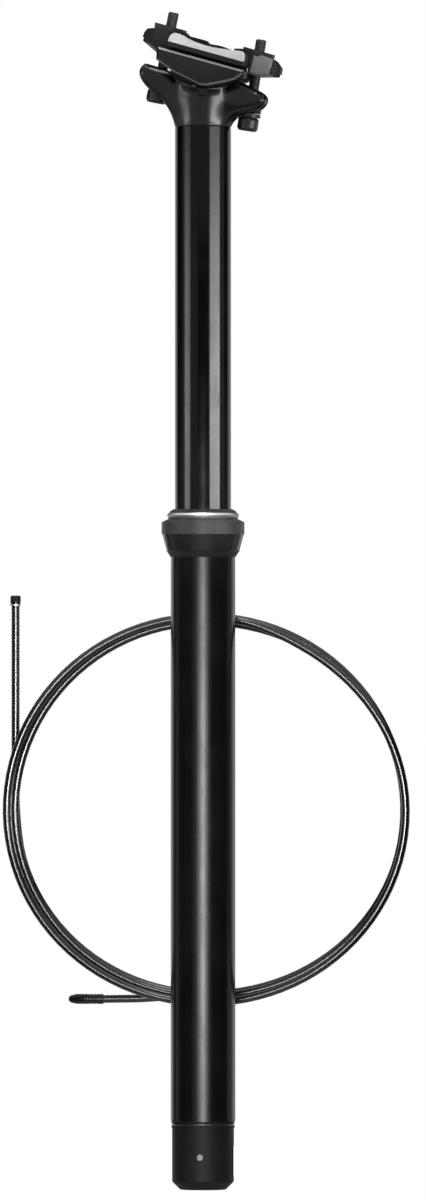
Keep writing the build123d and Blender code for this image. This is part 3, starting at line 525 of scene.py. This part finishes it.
class SeatpostColours(bpy.types.PropertyGroup):
    stanchion: FloatVectorProperty(
        name="Upper tube", description="Colour of the sliding tube and its head", subtype="COLOR",
        default=(0.003, 0.003, 0.0034),
    )
    lower_tube: FloatVectorProperty(
        name="Lower tube", description="Colour of the tube that the frame holds", subtype="COLOR",
        default=(0.004, 0.004, 0.0043),
    )
    collar: FloatVectorProperty(
        name="Collar", description="Colour of the collar nut", subtype="COLOR",
        default=(0.028, 0.028, 0.029),
    )
    clamp: FloatVectorProperty(
        name="Clamp", description="Colour of the rail clamp", subtype="COLOR",
        default=(0.009, 0.009, 0.0095),
    )
    bright: FloatVectorProperty(
        name="Bright metal", description="Colour of machined aluminium", subtype="COLOR",
        default=(0.86, 0.87, 0.88),
    )
    rubber: FloatVectorProperty(
        name="Rubber", description="Colour of the seals", subtype="COLOR", default=(0.012, 0.012, 0.012),
    )
    cable: FloatVectorProperty(
        name="Cable housing", description="Colour of the cable housing", subtype="COLOR",
        default=(0.004, 0.004, 0.004),
    )


class SeatpostSizes(bpy.types.PropertyGroup):
    cable_diameter: FloatProperty(
        name="Cable housing", description="Outside diameter of the cable housing", unit="LENGTH",
        subtype="DISTANCE", default=4 * MM, min=2 * MM, max=6 * MM,
    )
    coil_points: IntProperty(
        name="Points per turn", description="Control points in each turn of the coil", default=24, min=12,
        max=48,
    )
    thread_pitch: FloatProperty(
        name="Thread pitch", description="Pitch of the clamp bolts' thread", unit="LENGTH",
        subtype="DISTANCE", default=0.9 * MM, min=0.5 * MM, max=1.25 * MM,
    )
    thread_height: FloatProperty(
        name="Thread height", description="How far the thread stands out of the bolt", unit="LENGTH",
        subtype="DISTANCE", default=0.22 * MM, min=0.05 * MM, max=0.35 * MM,
    )


class SeatpostStage(bpy.types.PropertyGroup):
    camera_turn: FloatProperty(
        name="Camera turn", description="How far the camera stands round to the front", unit="ROTATION",
        subtype="ANGLE", default=math.radians(6),
    )
    camera_distance: FloatProperty(
        name="Camera distance", description="From the post's axis to the camera", unit="LENGTH",
        subtype="DISTANCE", default=8.0, min=2.0, max=12.0,
    )
    floor_drop: FloatProperty(
        name="Floor drop", description="Height of the post's foot above the floor", unit="LENGTH",
        subtype="DISTANCE", default=0.12, min=0.0, max=1.0,
    )
    ambient: FloatProperty(
        name="Ambient", description="Strength of the light from all round", default=0.2, min=0.0, max=1.0,
    )
    lamps: FloatProperty(
        name="Lamps", description="Strength of the soft lamps", default=1.0, min=0.0, max=4.0,
    )


# The photograph, in its own points: its size, points in a millimetre, and where the frame's origin is
PHOTO_WIDTH = 426
PHOTO_HEIGHT = 1200
PHOTO_SCALE = 2.043
PHOTO_ORIGIN = (203, 557)

FLOOR_RADIUS = 1.6

# Each lamp: azimuth from the camera in degrees, distance, height, width, own height in metres, radiance
LAMPS = {
    "right_box": (50.5, 5.0, 0.135, 4.1, 0.25, 60.0),
    "left_box": (-68, 5.0, 0.135, 2.4, 0.25, 22.0),
    "front_core": (0, 2.5, -0.19, 0.62, 0.18, 80.0),
    "front_wide": (-1, 2.6, -0.19, 1.7, 0.18, 34.0),
    "back_left": (-150, 2.5, -0.05, 1.6, 0.9, 1.2),
    "back_right": (140, 2.5, -0.05, 1.6, 0.9, 1.2),
}
# The lamp over the post: place, size and radiance, and the point that it faces
TOP_LAMP = ((0, -0.6, 1.5), (0.45, 1.0), 13.0)
TOP_LAMP_AIM = (0, 0, 0.2)
LAMPS_OFF_FLOOR = ("right_box", "left_box")

# Each black panel: azimuth from the camera and sweep in degrees, distance, foot and own height in
# metres, and whether it shades the lamps. Flags darken the post's edges from behind; shades keep the
# side lamps off the lower tube and the front ones off the head.
PANELS = {
    "flag_right": (96, 80, 4.0, 0.03, 2.5, False),
    "flag_left": (-96, -80, 4.0, 0.03, 2.5, False),
    "low_flag_right": (116, 60, 4.0, -2.0, 2.0, False),
    "low_flag_left": (-112, -64, 4.0, -2.0, 2.0, False),
    "shade_right": (26, 70, 0.25, -0.5, 0.512, True),
    "shade_left": (-35, -60, 0.25, -0.5, 0.512, True),
    "shade_front": (-22, 44, 0.5, 0.03, 0.14, True),
}


class SEATPOST_OT_stage(bpy.types.Operator):
    """Set the camera, the pale floor, the soft lamps and the black panels."""

    bl_idname = "seatpost.stage"
    bl_label = "Stage"

    def execute(self, context):
        scene = context.scene
        stage = scene.seatpost_stage
        scene.view_settings.view_transform = "Standard"
        turn = stage.camera_turn

        def around(angle, distance, height):
            azimuth = turn + math.radians(angle)
            return Vector((math.sin(azimuth) * distance, -math.cos(azimuth) * distance, height))

        origin_x, origin_z = PHOTO_ORIGIN
        aim_across = (PHOTO_WIDTH / 2 - origin_x) / PHOTO_SCALE * MM
        aim_height = (origin_z - PHOTO_HEIGHT / 2) / PHOTO_SCALE * MM
        data = bpy.data.cameras.new("camera")
        data.lens = data.sensor_width * stage.camera_distance / (PHOTO_HEIGHT / PHOTO_SCALE * MM)
        data.clip_end = 100
        camera = bpy.data.objects.new("camera", data)
        scene.collection.objects.link(camera)
        across = Vector((math.cos(turn), math.sin(turn), 0))
        camera.location = around(0, stage.camera_distance, aim_height) + across * aim_across
        camera.rotation_euler = (math.pi / 2, 0, turn)
        scene.camera = camera

        shape = bmesh.new()
        bmesh.ops.create_circle(shape, cap_ends=True, radius=FLOOR_RADIUS, segments=96)
        low = cad_box[0].z - stage.floor_drop
        bmesh.ops.translate(shape, vec=(0, 0, low), verts=shape.verts)
        floor = finished("floor", shape, made("floor_paper"))

        for name, (angle, distance, height, wide, high, radiance) in LAMPS.items():
            self.lamp(scene, name, around(angle, distance, height), (wide, high), radiance * stage.lamps)
        place, size, radiance = TOP_LAMP
        self.lamp(scene, "top_box", Vector(place), size, radiance * stage.lamps, Vector(TOP_LAMP_AIM))
        for name, (angle, sweep, distance, foot, height, shades) in PANELS.items():
            self.panel(name, around(angle, distance, foot), sweep, height, shades)
        # the shades' shadows stay off the floor
        clear = bpy.data.collections.new("all_but_floor")
        clear.objects.link(floor)
        clear.collection_objects[0].light_linking.link_state = "EXCLUDE"
        for name in LAMPS_OFF_FLOOR:
            bpy.data.objects[name].light_linking.receiver_collection = clear

        # the world is white where it is seen, plainly, in gloss or through glass, and weak as a light
        world = bpy.data.worlds.new("studio")
        sky = Tree(world)
        background = sky.nodes["Background"]
        sky.feed(background.inputs["Color"], (1, 1, 1))
        camera_ray = sky.add("ShaderNodeLightPath", output="Is Camera Ray")
        seen = camera_ray
        for kind in ("Is Glossy Ray", "Is Transmission Ray"):
            seen = seen.math("MAXIMUM", camera_ray.beside(kind))
        blend = {"To Min": stage.ambient, "Value": seen}
        strength = sky.add("ShaderNodeMapRange", sockets=blend, output="Result")
        sky.feed(background.inputs["Strength"], strength)
        scene.world = world
        return {"FINISHED"}

    def panel(self, name, foot, sweep, height, shades):
        """A curved black panel round the post, which no camera sees."""
        shape = bmesh.new()
        top = foot + Vector((0, 0, height))
        upright = shape.edges.new([shape.verts.new(foot), shape.verts.new(top)])
        bmesh.ops.spin(
            shape,
            geom=[*upright.verts, upright],
            cent=(0, 0, 0),
            axis=(0, 0, 1),
            angle=math.radians(sweep),
            steps=24,
        )
        panel = finished(name, shape, made("flag_cloth"))
        panel.visible_camera = False
        panel.visible_diffuse = False
        panel.visible_shadow = shades

    def lamp(self, scene, name, place, size, radiance, target=None):
        """A flat soft lamp that faces the post and gives a stated radiance."""
        wide, high = size
        data = bpy.data.lights.new(name, "AREA")
        data.shape = "RECTANGLE"
        data.size = wide
        data.size_y = high
        data.energy = radiance * math.pi * wide * high
        lamp = bpy.data.objects.new(name, data)
        lamp.location = place
        back = place - (target or Vector((0, 0, place.z)))
        lamp.rotation_euler = back.to_track_quat("Z", "Y").to_euler()
        lamp.visible_camera = False
        scene.collection.objects.link(lamp)


# Fittings of the cable housing, in mm: pairs of a radius and a length along the axis
CAP_OUTLINE = [
    (0, 0),
    (2.2, 0),
    (2.6, 0.15),
    (2.6, 0.95),
    (2.25, 1.1),
    (2.25, 1.35),
    (2.6, 1.5),
    (2.58, 4.4),
    (2.35, 4.9),
    (1.9, 5.15),
    (0, 5.2),
]
BAND_OUTLINE = [(2.4, 0.1), (2.64, 0.2), (2.64, 0.8), (2.4, 0.9)]
FERRULE_BACK = [(0, 0), (2.3, 0), (2.48, 0.2)]
FERRULE_GROOVES = (3.0, 4.6, 6.2)
GROOVE_OUTLINE = [(2.48, 0), (2.3, 0.25), (2.3, 0.65), (2.48, 0.9)]
FERRULE_FRONT = [
    (2.48, 13.5),
    (2.2, 14.2),
    (2.1, 15.0),
    (1.7, 16.2),
    (1.1, 17.0),
    (0.6, 17.1),
    (0.6, 15.0),
    (0, 15.0),
]


class SEATPOST_OT_cable(bpy.types.Operator):
    """Lay the coiled cable housing with its ferrule and its capped end."""

    bl_idname = "seatpost.cable"
    bl_label = "Cable housing"

    def execute(self, context):
        sizes = context.scene.seatpost_sizes
        route = cable_route(sizes.coil_points)
        curve = bpy.data.curves.new("cable_housing", "CURVE")
        curve.dimensions = "3D"
        curve.bevel_depth = sizes.cable_diameter / 2
        curve.bevel_resolution = 5
        curve.resolution_u = 4
        curve.use_fill_caps = True
        spline = curve.splines.new("NURBS")
        spline.points.add(len(route) - 1)
        for control, point in zip(spline.points, route):
            control.co = (*point, 1)
        spline.order_u = 3
        spline.use_endpoint_u = True
        cable = bpy.data.objects.new("cable_housing", curve)
        context.scene.collection.objects.link(cable)
        put_finish(cable, made("cable_jacket"))
        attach(cable, "cable_coil")
        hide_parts("cable_coil", "cable_lower_tail", "cable_upper_tail")

        top = route[-1] / MM
        cap = turned("cable_cap", CAP_OUTLINE, top, (0, 0, 1), made("fitting_plastic"))
        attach(cap, "cable_coil")
        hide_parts("cable_end_cap")

        band = turned("cable_cap_band", BAND_OUTLINE, top, (0, 0, 1), made("ring_bright"))
        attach(band, "cable_coil")

        outline = list(FERRULE_BACK)
        for groove in FERRULE_GROOVES:
            outline += [(radius, groove + offset) for radius, offset in GROOVE_OUTLINE]
        outline += FERRULE_FRONT
        ferrule_name = "cable_ferrule_shell"
        ferrule = turned(ferrule_name, outline, LOWER_TAIL[0], (-1, 0, 0), made("fitting_plastic"))
        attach(ferrule, "cable_coil")
        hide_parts("cable_ferrule")

        return {"FINISHED"}


class SEATPOST_OT_threads(bpy.types.Operator):
    """Cut the thread of the two clamp bolts."""

    bl_idname = "seatpost.threads"
    bl_label = "Bolt threads"

    def execute(self, context):
        sizes = context.scene.seatpost_sizes
        pitch = sizes.thread_pitch / MM
        high = sizes.thread_height / MM
        # lengths in mm; the thread's root lies just inside the plain bolt
        root, flank, start, length, steps = 2.47, 0.03, 9.0, 26.4, 20
        rises = [(0, 0), (flank, 0.12), (high, 0.44), (high, 0.56), (flank, 0.88), (0, 1)]
        outline = [(root + rise, pitch * share) for rise, share in rises]
        turns = int(length / pitch)
        helix = {"dvec": (0, 0, pitch / steps), "angle": math.tau * turns}
        for bolt, (seat, nut) in BOLT_LINES.items():
            along = (Vector(nut) - Vector(seat)).normalized()
            shape = spun(outline, Vector(seat) + along * start, along, steps * turns, **helix)
            thread = finished(bolt + "_thread", shape, made("bolt_oxide"), 50)
            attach(thread, bolt)
        return {"FINISHED"}


# The head's forging, in mm: the top of the upper tube, the round saddle that the cradle rocks in,
# the CAD head's half thicknesses (neck and ears), and the rounder ones it is given. Near the joint,
# the saddle and the bolts' bosses it stays as it is.
HEAD_JOINT = 210.5
JOINT_MARGIN = 1.0
SADDLE_ARC_CENTRE = (3.955, 258.762)
SADDLE_ARC_RADIUS = 29.32
ARC_MARGIN = 1.2
NECK_RADIUS = 13.7
NECK_SWELL = 1.4
NECK_SWELL_RISE = 10
EAR_HALF = 8.5
BELL_SWELL = 5.4
BELL_WIDTH = 11.5
BELL_RISE = 14
BOSS_RADIUS = 6.6
BOSS_BLEND = (5, 8.4)
EAR_ROOT = 27
HEAD_VOXEL = 0.42
SOFT_PASSES = 14
SOFTER_PASSES = 50


class SEATPOST_OT_head(bpy.types.Operator):
    """Round the head's forging, whose ears run softly into its neck."""

    bl_idname = "seatpost.head"
    bl_label = "Saddle head"

    def execute(self, context):
        lines = []
        for seat, nut in BOLT_LINES.values():
            lines.append((Vector(seat), (Vector(nut) - Vector(seat)).normalized()))

        def eased(value, low, high):
            share = min(max((value - low) / (high - low), 0), 1)
            return share * share * (3 - 2 * share)

        def near_bolt(place):
            offsets = [(place - seat, along) for seat, along in lines]
            return min((offset - along * offset.dot(along)).length for offset, along in offsets)

        source = bpy.data.objects.new("head_source", nodes["saddle_head"].data.copy())
        context.scene.collection.objects.link(source)
        shape = bmesh.new()
        shape.from_mesh(source.data)
        bmesh.ops.remove_doubles(shape, verts=shape.verts, dist=0.002 * MM)
        shape.to_mesh(source.data)
        shape.free()
        remesh = source.modifiers.new("skin", "REMESH")
        remesh.mode = "VOXEL"
        remesh.voxel_size = HEAD_VOXEL * MM
        evaluated = source.evaluated_get(context.evaluated_depsgraph_get())
        shape = bmesh.new()
        shape.from_mesh(bpy.data.meshes.new_from_object(evaluated))
        bpy.data.objects.remove(source)

        soft, softer = [], []
        arc_x, arc_z = SADDLE_ARC_CENTRE
        for vert in shape.verts:
            place = vert.co / MM
            rise = place.z - HEAD_JOINT
            across = abs(place.x)
            arc_gap = math.hypot(place.x - arc_x, place.z - arc_z) - SADDLE_ARC_RADIUS
            if rise < JOINT_MARGIN or arc_gap < ARC_MARGIN:
                continue
            neck = NECK_RADIUS + NECK_SWELL * min(rise / NECK_SWELL_RISE, 1) ** 2
            now = max(math.sqrt(max(neck * neck - across * across, 0)), EAR_HALF)
            column = math.sqrt(max(NECK_RADIUS ** 2 - across * across, EAR_HALF ** 2))
            bell = EAR_HALF + BELL_SWELL * math.exp(-((across / BELL_WIDTH) ** 2))
            wanted = column + (bell - column) * eased(rise, 0, BELL_RISE)
            bolt_gap = near_bolt(place)
            vert.co.y *= 1 + (wanted / now - 1) * eased(bolt_gap, *BOSS_BLEND)
            if bolt_gap > BOSS_RADIUS:
                soft.append(vert)
                if across < EAR_ROOT:
                    softer.append(vert)
        axes = {"use_axis_x": True, "use_axis_y": True, "use_axis_z": True}
        for verts, passes in ((soft, SOFT_PASSES), (softer, SOFTER_PASSES)):
            for _ in range(passes):
                bmesh.ops.smooth_vert(shape, verts=verts, factor=0.5, **axes)
        head = finished("head_forging", shape, made("head_forged"), 40)
        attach(head, "upper_post")
        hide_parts("saddle_head")
        return {"FINISHED"}


class SEATPOST_OT_finishes(bpy.types.Operator):
    """Give every CAD piece its own finish."""

    bl_idname = "seatpost.finishes"
    bl_label = "Finishes"

    def execute(self, context):
        for finish, names in NODE_FINISHES.items():
            for name in names:
                put_finish(nodes[name], made(finish))
        return {"FINISHED"}


class SEATPOST_PT_panel(bpy.types.Panel):
    """Lists the seatpost's operators and settings."""

    bl_label = "Seatpost"
    bl_idname = "SEATPOST_PT_panel"
    bl_space_type = "VIEW_3D"
    bl_region_type = "UI"
    bl_category = "Seatpost"

    def draw(self, context):
        for operator in OPERATORS:
            self.layout.operator(operator.bl_idname)
        for group in ("seatpost_sizes", "seatpost_colours", "seatpost_stage"):
            settings = getattr(context.scene, group)
            for name in settings.__annotations__:
                self.layout.prop(settings, name)


OPERATORS = (
    SEATPOST_OT_stage, SEATPOST_OT_cable, SEATPOST_OT_head, SEATPOST_OT_threads, SEATPOST_OT_finishes,
)
GROUPS = {
    "seatpost_colours": SeatpostColours,
    "seatpost_sizes": SeatpostSizes,
    "seatpost_stage": SeatpostStage,
}


def register():
    for group in GROUPS.values():
        bpy.utils.register_class(group)
    for name, group in GROUPS.items():
        setattr(bpy.types.Scene, name, PointerProperty(type=group))
    for operator in OPERATORS:
        bpy.utils.register_class(operator)
    bpy.utils.register_class(SEATPOST_PT_panel)


def unregister():
    bpy.utils.unregister_class(SEATPOST_PT_panel)
    for operator in reversed(OPERATORS):
        bpy.utils.unregister_class(operator)
    for name, group in GROUPS.items():
        delattr(bpy.types.Scene, name)
        bpy.utils.unregister_class(group)


def main():
    register()
    bpy.ops.seatpost.stage()
    bpy.ops.seatpost.cable()
    bpy.ops.seatpost.head()
    bpy.ops.seatpost.threads()
    bpy.ops.seatpost.finishes()


if __name__ == "__main__":
    main()
